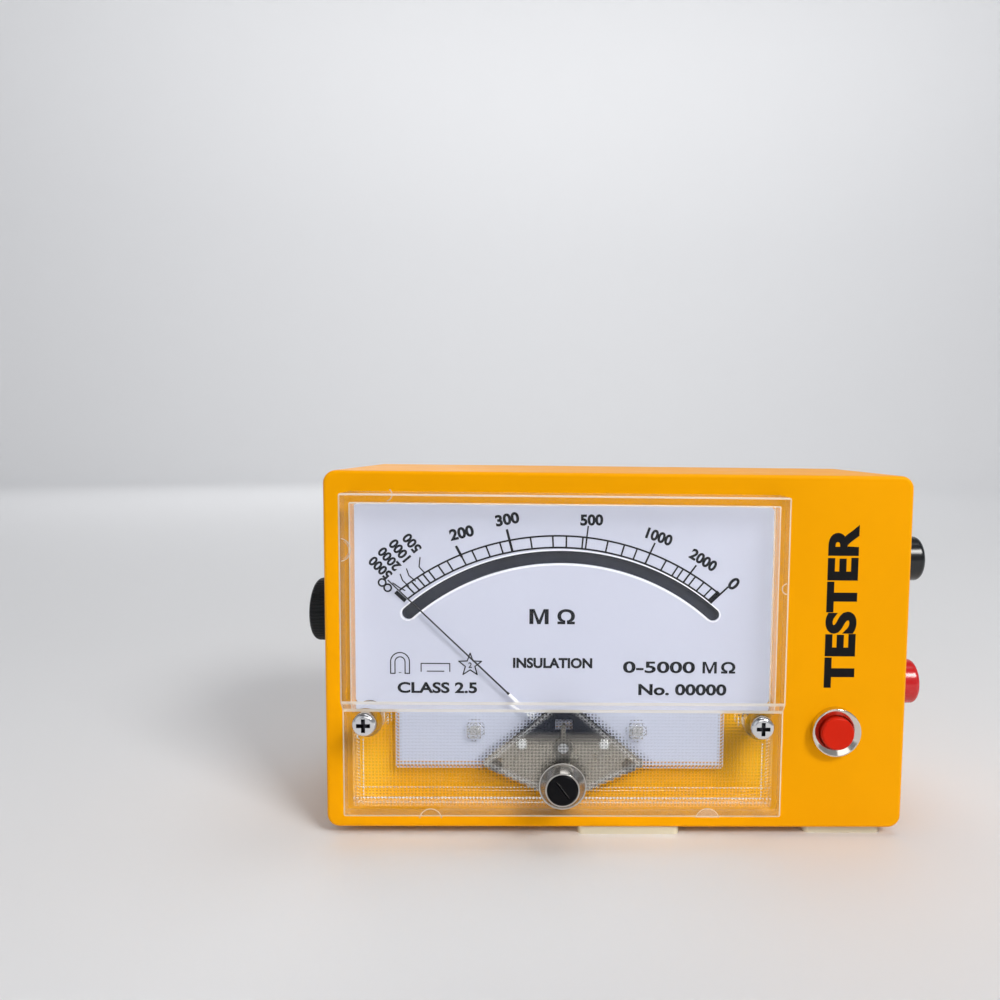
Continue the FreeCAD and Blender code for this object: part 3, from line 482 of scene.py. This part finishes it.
class Flat:
    """Collects flat printed shapes that face the front, at one depth."""

    def __init__(self, y):
        self.y = y
        self.v = []
        self.f = []

    def poly(self, pts):
        b = len(self.v)
        self.v += [L(x, self.y, z) for x, z in pts]
        self.f.append(tuple(range(b, b + len(pts))))

    def line(self, x0, z0, x1, z1, w):
        dx, dz = x1 - x0, z1 - z0
        n = math.hypot(dx, dz)
        px, pz = -dz / n * w / 2, dx / n * w / 2
        self.poly([(x0 - px, z0 - pz), (x1 - px, z1 - pz), (x1 + px, z1 + pz), (x0 + px, z0 + pz)])

    def path(self, pts, w):
        for (a, b), (c, d) in zip(pts, pts[1:]):
            self.line(a, b, c, d, w)
            self.disc(c, d, w / 2, 10)
        self.disc(pts[0][0], pts[0][1], w / 2, 10)

    def disc(self, x, z, r, n=24):
        self.poly([(x + r * math.cos(2 * math.pi * k / n), z + r * math.sin(2 * math.pi * k / n)) for k in range(n)])

    def arc(self, x, z, r0, r1, a0, a1, n=96):
        for k in range(n):
            a = math.radians(a0 + (a1 - a0) * k / n)
            b = math.radians(a0 + (a1 - a0) * (k + 1) / n)
            self.poly([(x + r0 * math.cos(a), z + r0 * math.sin(a)), (x + r1 * math.cos(a), z + r1 * math.sin(a)),
                       (x + r1 * math.cos(b), z + r1 * math.sin(b)), (x + r0 * math.cos(b), z + r0 * math.sin(b))])

    def text(self, body, cap, x, z, rot=0.0, sx=1.0, bold=0.0, width=None, space=1.0):
        cu = bpy.data.curves.new("t", "FONT")
        cu.body = body
        cu.align_x = "CENTER"
        cu.align_y = "CENTER"
        cu.size = 1.0
        cu.offset = bold
        cu.space_character = space
        cu.resolution_u = 6
        ob = bpy.data.objects.new("t", cu)
        bpy.context.scene.collection.objects.link(ob)
        bpy.context.view_layer.update()
        me = ob.to_mesh()
        vs = [(v.co.x, v.co.y) for v in me.vertices]
        fs = [tuple(p.vertices) for p in me.polygons]
        ob.to_mesh_clear()
        bpy.data.objects.remove(ob)
        bpy.data.curves.remove(cu)
        x0, x1 = min(v[0] for v in vs), max(v[0] for v in vs)
        y0, y1 = min(v[1] for v in vs), max(v[1] for v in vs)
        s = cap / (y1 - y0)
        k = s * sx if width is None else width / (x1 - x0)
        c, q = math.cos(math.radians(rot)), math.sin(math.radians(rot))
        b = len(self.v)
        for u, v in vs:
            uu, vv = (u - (x0 + x1) / 2) * k, (v - (y0 + y1) / 2) * s
            self.v.append(L(x + uu * c - vv * q, self.y, z + uu * q + vv * c))
        self.f += [tuple(b + i for i in f) for f in fs]

    def letter_m(self, x, z, w, h, t):
        """Capital M as one outline; t is the stroke width."""
        o = [(0, 0), (0, h), (t * 1.25, h), (w / 2, h * 0.28), (w - t * 1.25, h), (w, h), (w, 0),
             (w - t, 0), (w - t, h * 0.76), (w / 2 + t * 0.42, 0), (w / 2 - t * 0.42, 0), (t, h * 0.76), (t, 0)]
        o = [(x - w / 2 + u, z - h / 2 + v) for u, v in o]
        b = len(self.v)
        self.v += [L(u, self.y, v) for u, v in o]
        for f in ((0, 1, 11, 12), (1, 2, 11), (2, 10, 11), (2, 3, 10), (3, 9, 10), (3, 4, 9), (4, 8, 9), (4, 5, 8),
                  (5, 6, 7, 8)):
            self.f.append(tuple(b + k for k in f))

    def done(self, name, m, body):
        o = add_mesh(name, self.v, self.f, m, body)
        me = o.data
        bm = bmesh.new()
        bm.from_mesh(me)
        for f in bm.faces:
            if f.normal.y > 0:
                f.normal_flip()
        bm.to_mesh(me)
        bm.free()
        return o


# --------------------------------------------------------------------------
# Dial print
# --------------------------------------------------------------------------
PX, PZ = -12.6, 21.33          # pointer axis
TX, TZ = -13.1, 21.8           # point the measured tick directions were taken from
CX, CZ, R_OUT, R_IN = -13.84, 11.84, 57.87, 55.2
DIAL_F = -1.6
pr = Flat(DIAL_F - 0.02)


def ray(ox, oz, ang, r):
    """Where a ray from (ox, oz) meets the circle about the arc centre."""
    dx, dz = math.cos(math.radians(ang)), math.sin(math.radians(ang))
    ax, az = ox - CX, oz - CZ
    b = ax * dx + az * dz
    c = ax * ax + az * az - r * r
    t = -b + math.sqrt(b * b - c)
    return ox + t * dx, oz + t * dz


def on_circle(ang, r):
    mx_, mz_ = ray(TX, TZ, ang, (R_IN + R_OUT) / 2)
    return ray(PX, PZ, math.degrees(math.atan2(mz_ - PZ, mx_ - PX)), r)


def arc_ang(x, z):
    return math.degrees(math.atan2(z - CZ, x - CX))


A_L = arc_ang(*on_circle(136.5, R_OUT))
A_R = arc_ang(*on_circle(43.9, R_OUT))
pr.arc(CX, CZ, R_OUT - 0.20, R_OUT + 0.20, A_R, A_L, 160)
pr.arc(CX, CZ, R_IN - 0.20, R_IN + 0.20, arc_ang(*on_circle(43.9, R_IN)), arc_ang(*on_circle(136.5, R_IN)), 160)
TICKS = [134.33, 132.7, 130.89, 129.21, 127.51, 124.65, 122.04, 118.08, 114.92, 110.99, 107.2, 104.49,
         98.84, 92.78, 89.05, 84.53, 83.49, 77.65, 73.05, 69.42, 65.73, 60.94, 57.39, 55.81, 53.63, 51.94, 49.24, 46.65]
for a in TICKS:
    x0, z0 = on_circle(a, R_IN)
    x1, z1 = on_circle(a, R_OUT)
    pr.line(x0, z0, x1, z1, 0.38)


def radial(ang, d0, d1, w):
    x, z = on_circle(ang, R_OUT)
    c, s = math.cos(math.radians(ang)), math.sin(math.radians(ang))
    pr.line(x + c * d0, z + s * d0, x + c * d1, z + s * d1, w)


radial(118.08, -0.6, 2.3, 0.58)
radial(104.49, -2.7, 2.6, 0.56)
radial(83.49, -2.6, 2.7, 0.34)
radial(65.73, -2.6, 2.6, 0.40)
radial(53.63, -2.6, 2.3, 0.40)
radial(43.9, -0.2, 2.6, 0.42)
radial(43.9 + 0.5, -2.9, 0.3, 1.25)
pr.line(-51.0, 56.6, -48.75, 54.5, 0.95)
pr.text("200", 2.65, -36.04, 70.2, 13.5, sx=1.08, bold=0.042)
pr.text("300", 2.65, -25.75, 73.4, 10.5, sx=1.08, bold=0.042)
pr.text("500", 2.6, -6.62, 73.4, 1.0, sx=1.05, bold=0.042)
pr.text("1000", 2.6, 8.81, 69.7, -19.0, sx=1.0, bold=0.042)
pr.text("2000", 2.6, 18.99, 64.45, -31.0, sx=1.0, bold=0.042)
pr.text("0", 3.1, 26.1, 59.05, -43.0, sx=1.0, bold=0.034)
pr.text("500", 2.4, -47.3, 67.75, 130.0, sx=1.0, bold=0.040)
pr.text("1000", 2.4, -50.05, 66.05, 130.0, sx=0.98, bold=0.040)
pr.text("2000", 2.35, -52.4, 64.1, 132.0, sx=0.98, bold=0.040)
pr.text("5000", 2.35, -54.45, 62.05, 135.5, sx=0.98, bold=0.040)
for k in (-1, 1):
    ux, uz = math.cos(math.radians(136.0)), math.sin(math.radians(136.0))
    pr.arc(-53.4 + k * 0.86 * ux, 58.1 + k * 0.86 * uz, 0.62, 1.02, 0, 360, 32)
pr.path([(-45.44, 64.48), (-45.67, 62.35), (-44.46, 61.05)], 0.28)
pr.path([(-48.49, 61.86), (-47.97, 60.34), (-46.5, 59.1)], 0.28)
pr.path([(-49.92, 60.61), (-49.4, 59.2), (-48.03, 57.9)], 0.28)
pr.path([(-51.6, 58.6), (-50.2, 57.6), (-48.9, 56.9)], 0.28)
pr.letter_m(-18.4, 51.1, 4.4, 3.5, 0.92)
pr.text("Ω", 3.5, -12.2, 51.12, 0, width=4.0, bold=0.030)
# moving-coil, d.c. and test symbols
mx, mz = -50.1, 40.0
for r in (2.15, 1.15):
    pr.arc(mx, mz + 0.4, r - 0.13, r + 0.13, 0, 180, 24)
    for s in (-1, 1):
        pr.line(mx + s * r, mz + 0.4, mx + s * r, mz - 2.35, 0.26)
for s in (-1, 1):
    pr.line(mx + s * 1.05, mz - 2.3, mx + s * 2.25, mz - 2.3, 0.26)
pr.line(mx - 0.3, mz - 2.1, mx + 0.3, mz - 2.1, 0.16)
pr.path([(-45.3, 38.2), (-45.3, 40.05), (-38.75, 40.05), (-38.75, 38.2)], 0.24)
pr.line(-44.0, 38.25, -40.0, 38.25, 0.24)
sxc, szc = -34.1, 39.75
star = []
for k in range(10):
    r = 2.75 if k % 2 == 0 else 1.15
    a = math.radians(90 + 36 * k)
    star.append((sxc + r * math.cos(a), szc + r * math.sin(a)))
pr.path(star + [star[0]], 0.28)
pr.text("2", 1.3, sxc, szc - 0.05, 0, sx=0.95, bold=0.02)
pr.text("CLASS 2.5", 2.6, -41.6, 34.4, 0, width=18.2, bold=0.032)
pr.text("INSULATION", 2.45, -15.2, 40.3, 0, width=18.2, bold=0.040)
pr.text("0-5000", 2.75, 9.3, 39.45, 0, width=16.6, bold=0.024)
pr.letter_m(21.0, 39.45, 3.3, 2.75, 0.60)
pr.text("Ω", 2.75, 25.3, 39.45, 0, width=3.3, bold=0.030)
pr.text("No. 00000", 2.7, 14.8, 34.2, 0, width=20.4, bold=0.032)
pr.done("dial_print", M["ink"], "case")

# white outline of the mirror slot
MX, MZ, MR0, MR1, MA0, MA1 = -13.3, 12.0, 51.4, 54.3, 48.8, 131.4
wl = Flat(DIAL_F - 0.012)
wl.arc(MX, MZ, MR1, MR1 + 0.30, MA0, MA1, 120)
wl.arc(MX, MZ, MR0 - 0.45, MR0, MA0, MA1, 120)
mr, hw = (MR0 + MR1) / 2, (MR1 - MR0) / 2
for a, s0 in ((MA1, MA1), (MA0, MA0 - 180)):
    ex, ez = MX + mr * math.cos(math.radians(a)), MZ + mr * math.sin(math.radians(a))
    wl.arc(ex, ez, hw, hw + 0.3, s0, s0 + 180, 24)
wl.done("mirror_outline", M["paint_white"], "case")

# plain lettering on the case face
cl = Flat(-0.03)
cl.text("TESTER", 7.3, 51.9, 53.4, 90.0, width=38.5, bold=0.048, space=1.06)
cl.done("case_lettering", M["ink_case"], "case")

# pale lines along the driver slot of the zero adjuster: worn bare metal with a painted highlight along the slot's lit
# edges
AX_, AZ_ = PX, PZ - 8.2
sl = Flat(-9.0 + 0.004)
c, q = math.cos(math.radians(53.0)), math.sin(math.radians(53.0))
for off, wd in ((-0.23, 0.10), (0.23, 0.05)):
    sl.line(AX_ - 2.35 * c - off * q, AZ_ + 2.35 * q - off * c, AX_ + 2.35 * c - off * q, AZ_ - 2.35 * q - off * c, wd)
sl.done("adjuster_slot_edge", M["slot_edge"], "adjuster")

# --------------------------------------------------------------------------
# Clear cover, rebuilt from the CAD shell with eased edges and a prismatic grid
# --------------------------------------------------------------------------
COV_X0, COV_X1, COV_Z0, COV_Z1 = -62.2, 37.3, 5.8, 79.3
STEP_Z0, STEP_Z1 = 30.6, 32.6
WIN_F, WIN_IN, STRIP_F, STRIP_IN = -8.0, -6.2, -6.5, -4.9
GX0, GX1, GZ0, GZ1 = COV_X0 + 2.0, COV_X1 - 2.0, COV_Z0 + 2.0, STEP_Z0
HOLES = [(-57.0, 27.6, 3.6), (32.3, 27.2, 3.6), (-12.6, 13.13, 4.6)]
PITCH_X, PITCH_Z, RELIEF = 0.80, 0.75, 0.15
EASE = 0.42


def mm(co):
    """Back from the scene's metres to drawing millimetres."""
    return co.x * 1000 - OX, co.y * 1000 - OY, co.z * 1000 - OZ


def near(a, b, tol=0.01):
    return abs(a - b) < tol


def build_cover():
    bm = bmesh.new()
    bm.from_mesh(N["meter_cover"].data)
    bmesh.ops.remove_doubles(bm, verts=bm.verts, dist=2e-6)
    bmesh.ops.dissolve_limit(bm, angle_limit=math.radians(0.5), verts=bm.verts, edges=bm.edges)
    bmesh.ops.triangulate(bm, faces=bm.faces[:])
    for v in bm.verts:
        if abs(mm(v.co)[1]) < 0.004:
            v.co.y -= 0.00003
    # ease the outer front edges, the step and the cavity's edges
    sel, inner = [], []

    def rim_in(v):
        return (abs(v[0] - GX0) < 0.45 or abs(v[0] - GX1) < 0.45
                or abs(v[2] - GZ0) < 0.45 or abs(v[2] - (COV_Z1 - 2.0)) < 0.45)

    for e in bm.edges:
        if len(e.link_faces) != 2 or e.calc_face_angle(0) < math.radians(20):
            continue
        p, q = mm(e.verts[0].co), mm(e.verts[1].co)

        def rim(v):
            return (v[0] < COV_X0 + 0.55 or v[0] > COV_X1 - 0.55
                    or v[2] < COV_Z0 + 0.55 or v[2] > COV_Z1 - 0.55)
        win = near(p[1], WIN_F) and near(q[1], WIN_F)
        strip = near(p[1], STRIP_F) and near(q[1], STRIP_F)
        cham = (near(p[1], WIN_F) and near(q[1], STRIP_F)) or (near(q[1], WIN_F) and near(p[1], STRIP_F))
        if win and (rim(p) and rim(q) or near(p[2], STEP_Z1, 0.05) and near(q[2], STEP_Z1, 0.05)):
            sel.append(e)
        elif strip and (rim(p) and rim(q) or near(p[2], STEP_Z0, 0.05) and near(q[2], STEP_Z0, 0.05)):
            sel.append(e)
        elif cham and rim(p) and rim(q):
            sel.append(e)
        else:
            inw = near(p[1], WIN_IN) and near(q[1], WIN_IN)
            if inw and rim_in(p) and rim_in(q):
                inner.append(e)
    print("cover edges eased:", len(sel))
    got = bmesh.ops.bevel(bm, geom=sel, offset=EASE * 0.001, offset_type="OFFSET", segments=3,
                          profile=0.5, affect="EDGES", clamp_overlap=False)
    for f in got["faces"]:
        f.material_index = 3
    if inner:
        got = bmesh.ops.bevel(bm, geom=[e for e in inner if e.is_valid], offset=0.00028, offset_type="OFFSET",
                              segments=2, profile=0.5, affect="EDGES", clamp_overlap=False)
        for f in got["faces"]:
            f.material_index = 3
    print("inner edges eased:", len(inner))
    # inner face of the strip, to be remade as a grid of small pyramids
    yin = (STRIP_IN + OY) * 0.001
    flat = [f for f in bm.faces if abs(f.normal.y) > 0.99 and all(abs(v.co.y - yin) < 4e-6 for v in f.verts)]
    print("inner strip faces:", len(flat))
    bmesh.ops.delete(bm, geom=flat, context="FACES_ONLY")
    rim_e = [e for e in bm.edges if len(e.link_faces) == 1
             and abs(e.verts[0].co.y - yin) < 4e-6 and abs(e.verts[1].co.y - yin) < 4e-6]
    pts, idx, cons = [], {}, []
    bm.verts.index_update()
    for e in rim_e:
        pair = []
        for v in e.verts:
            if v.index not in idx:
                idx[v.index] = len(pts)
                x, _, z = mm(v.co)
                pts.append(Vector((x, z)))
            pair.append(idx[v.index])
        cons.append(tuple(pair))
    height = [0.0] * len(pts)

    def free(x, z, gap):
        if x < GX0 + gap or x > GX1 - gap or z < GZ0 + gap or z > GZ1 - gap:
            return False
        return all(math.hypot(x - hx, z - hz) > r + gap for hx, hz, r in HOLES)

    nx, nz = int((GX1 - GX0) / PITCH_X), int((GZ1 - GZ0) / PITCH_Z)
    sx = (GX0 + GX1) / 2 - nx * PITCH_X / 2
    sz = (GZ0 + GZ1) / 2 - nz * PITCH_Z / 2
    node = {}
    for i in range(nx + 1):
        for j in range(nz + 1):
            x, z = sx + i * PITCH_X, sz + j * PITCH_Z
            if free(x, z, 0.10):
                node[(i, j)] = len(pts)
                pts.append(Vector((x, z)))
                height.append(0.0)
    for (i, j), k in list(node.items()):
        for di, dj in ((1, 0), (0, 1)):
            if (i + di, j + dj) in node:
                cons.append((k, node[(i + di, j + dj)]))
        if all((i + di, j + dj) in node for di, dj in ((1, 0), (0, 1), (1, 1))):
            x, z = sx + (i + 0.5) * PITCH_X, sz + (j + 0.5) * PITCH_Z
            if all(math.hypot(x - hx, z - hz) > r + 0.45 for hx, hz, r in HOLES):
                pts.append(Vector((x, z)))
                height.append(RELIEF)
    vo, _, fo, orig, _, _ = geometry.delaunay_2d_cdt(pts, cons, [], 0, 1e-6)
    new = []
    for v, o in zip(vo, orig):
        h = height[o[0]] if len(o) else 0.0
        new.append(bm.verts.new(L(v[0], STRIP_IN + h, v[1])))
    made = []
    for f in fo:
        cx = sum(vo[k][0] for k in f) / len(f)
        cz = sum(vo[k][1] for k in f) / len(f)
        if not (GX0 < cx < GX1 and GZ0 < cz < GZ1):
            continue
        if any(math.hypot(cx - hx, cz - hz) < r * 0.9975 for hx, hz, r in HOLES):
            continue
        fc = bm.faces.new([new[k] for k in f])
        fc.material_index = 2
        made.append(fc)
    bm.normal_update()
    for f in made:
        if f.normal.y < 0:
            f.normal_flip()
    bmesh.ops.remove_doubles(bm, verts=bm.verts, dist=6e-6)
    loose = [v for v in bm.verts if not v.link_faces]
    bmesh.ops.delete(bm, geom=loose, context="VERTS")
    bm.normal_update()
    bmesh.ops.delete(bm, geom=[e for e in bm.edges if not e.link_faces], context="EDGES")
    bmesh.ops.holes_fill(bm, edges=[e for e in bm.edges if len(e.link_faces) == 1], sides=8)
    bm.normal_update()
    open_edges = [e for e in bm.edges if len(e.link_faces) != 2]
    print("cover faces", len(bm.faces), "open edges", len(open_edges))
    # flat faces stay flat; only the turned surfaces are smoothed
    for f in bm.faces:
        x, y, z = mm(f.calc_center_median())
        n = f.normal
        f.smooth = False
        if abs(n.y) < 0.3 and any(abs(math.hypot(x - hx, z - hz) - r) < 0.25
                                  for hx, hz, r in HOLES + [(a, b, 1.6) for a, b, c in HOLES[:2]]):
            f.smooth = True
        if f.material_index < 2:
            f.material_index = 1 if abs(n.y) < 0.6 else 0
            if abs(n.y) > 0.9 and abs(y) < 0.05:
                f.material_index = 4
            elif n.y < -0.5 and abs(n.z) > 0.2 and STEP_Z0 - 0.3 < z < STEP_Z1 + 0.3:
                f.material_index = 5
    print("eased area mm2", sum(f.calc_area() for f in bm.faces if f.material_index == 3) * 1e6)
    me = bpy.data.meshes.new("clear_cover")
    for m in (M["clear"], M["clear_wall"], M["clear_grid"], M["clear_edge"], M["clear_base"], M["clear_step"]):
        me.materials.append(m)
    bm.to_mesh(me)
    bm.free()
    o = bpy.data.objects.new("clear_cover", me)
    bpy.context.scene.collection.objects.link(o)
    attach(o, "case")
    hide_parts("meter_cover")
    return o


build_cover()

# half-round moulding marks on the cover's rim, drawn as pale arcs: painted highlights along the marks' edges
mk = Flat(-8.006)
mk.arc(-62.05, 66.9, 2.45, 2.68, -78, 78, 30)
mk.arc(-62.05, 66.9, 2.15, 2.25, -60, 60, 24)
mk.arc(-42.2, 5.95, 2.35, 2.58, 8, 172, 36)
mk.arc(20.2, 5.95, 2.55, 2.75, 12, 168, 36)
mk.arc(-51.8, 79.15, 1.35, 1.55, -75, 50, 18)
mk.arc(36.9, 59.0, 1.1, 1.35, 100, 262, 22)
mk.done("cover_moulding_marks", M["mould_mark"], "case")
dm = Flat(-8.004)
for cx_, cz_, r_, a0_, a1_ in ((20.2, 5.95, 2.5, 12, 168),):
    pts_ = [(cx_ + r_ * math.cos(math.radians(a0_ + (a1_ - a0_) * k / 24)),
             cz_ + r_ * math.sin(math.radians(a0_ + (a1_ - a0_) * k / 24))) for k in range(25)]
    dm.poly(pts_)
dm.done("cover_moulding_flat", M["mould_flat"], "case")

def build_spring():
    """Return spring of the push button, a copy of the CAD coil fixed to the case."""
    me = N["button_spring"].data.copy()
    me.name = "button_spring_coil"
    o = bpy.data.objects.new("button_spring_coil", me)
    bpy.context.scene.collection.objects.link(o)
    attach(o, "case")
    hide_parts("button_spring")
    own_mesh(o)
    return o


build_spring()

# --------------------------------------------------------------------------
# Floor and light
# --------------------------------------------------------------------------
def sweep():
    prof = [(0.0, 0.0)]
    R0, RC, HT = 1.6, 0.7, 2.6
    prof.append((R0, 0.0))
    for k in range(1, 17):
        a = math.radians(90 * k / 16)
        prof.append((R0 + RC * math.sin(a), RC - RC * math.cos(a)))
    prof.append((R0 + RC, HT))
    seg = 96
    vs, fs = [Vector((0, 0, 0))], []
    rings = prof[1:]
    for r, z in rings:
        for k in range(seg):
            a = 2 * math.pi * k / seg
            vs.append(Vector((r * math.cos(a), r * math.sin(a), z)))
    for k in range(seg):
        fs.append((0, 1 + k, 1 + (k + 1) % seg))
    for i in range(len(rings) - 1):
        for k in range(seg):
            a, b = 1 + i * seg + k, 1 + i * seg + (k + 1) % seg
            fs.append((a, a + seg, b + seg, b))
    me = bpy.data.meshes.new("stage_floor")
    me.from_pydata(vs, [], fs)
    o = bpy.data.objects.new("stage_floor", me)
    bpy.context.scene.collection.objects.link(o)
    for p in me.polygons:
        p.use_smooth = True
    me.materials.append(mat("floor_pale", (0.78, 0.785, 0.80, 1), 0.7, spec=0.2))


sweep()


def area(name, loc, target, size, power, colour=(1, 1, 1), size_y=None):
    li = bpy.data.lights.new(name, "AREA")
    li.energy = power
    li.color = colour
    li.shape = "RECTANGLE"
    li.size = size
    li.size_y = size_y or size
    o = bpy.data.objects.new(name, li)
    bpy.context.scene.collection.objects.link(o)
    o.location = loc
    o.rotation_euler = (Vector(target) - Vector(loc)).to_track_quat("-Z", "Y").to_euler()
    return o


area("key", (0.62, -0.72, 0.78), (0, 0, 0.04), 0.34, 8.0, (1.0, 0.985, 0.96))
area("fill", (-0.9, -0.9, 0.5), (0, 0, 0.04), 0.9, 1.2, (0.94, 0.97, 1.0))
area("front", (0.1, -1.5, 0.78), (0, 0, 0.04), 0.8, 2.5, (1.0, 0.98, 0.95))
area("top", (0.1, 0.05, 1.1), (0, 0, 0.04), 0.7, 3.0)
area("back", (-0.5, 1.1, 0.7), (0, 0, 0.05), 0.8, 1.8)
area("wall", (0.0, 0.9, 1.5), (0, 2.3, 0.8), 1.6, 17.0, size_y=0.5)

w = bpy.data.worlds.new("studio")
bpy.context.scene.world = w
w.use_nodes = True
w.node_tree.nodes["Background"].inputs["Color"].default_value = (0.92, 0.95, 1.0, 1)
w.node_tree.nodes["Background"].inputs["Strength"].default_value = 0.15

bpy.context.scene.view_settings.view_transform = "Standard"
bpy.context.scene.view_settings.look = "None"

# --------------------------------------------------------------------------
# Camera
# --------------------------------------------------------------------------
cam = bpy.data.cameras.new("camera")
cam.sensor_width = 36.0
cam.lens = 28.08
cam.shift_x = -0.085
cam.clip_start = 0.005
cam.clip_end = 20.0
co = bpy.data.objects.new("camera", cam)
bpy.context.scene.collection.objects.link(co)
right = Vector((0.9997552, -0.0189030, 0.0114988))
fwd = Vector((0.0197127, 0.9969936, -0.0749343))
up = Vector((-0.0100478, 0.0751426, 0.9971222))
rot = Matrix((right, up, -fwd)).transposed()
co.matrix_world = Matrix.Translation(L(-11.681, -178.164, 91.155)) @ rot.to_4x4()
bpy.context.scene.camera = co
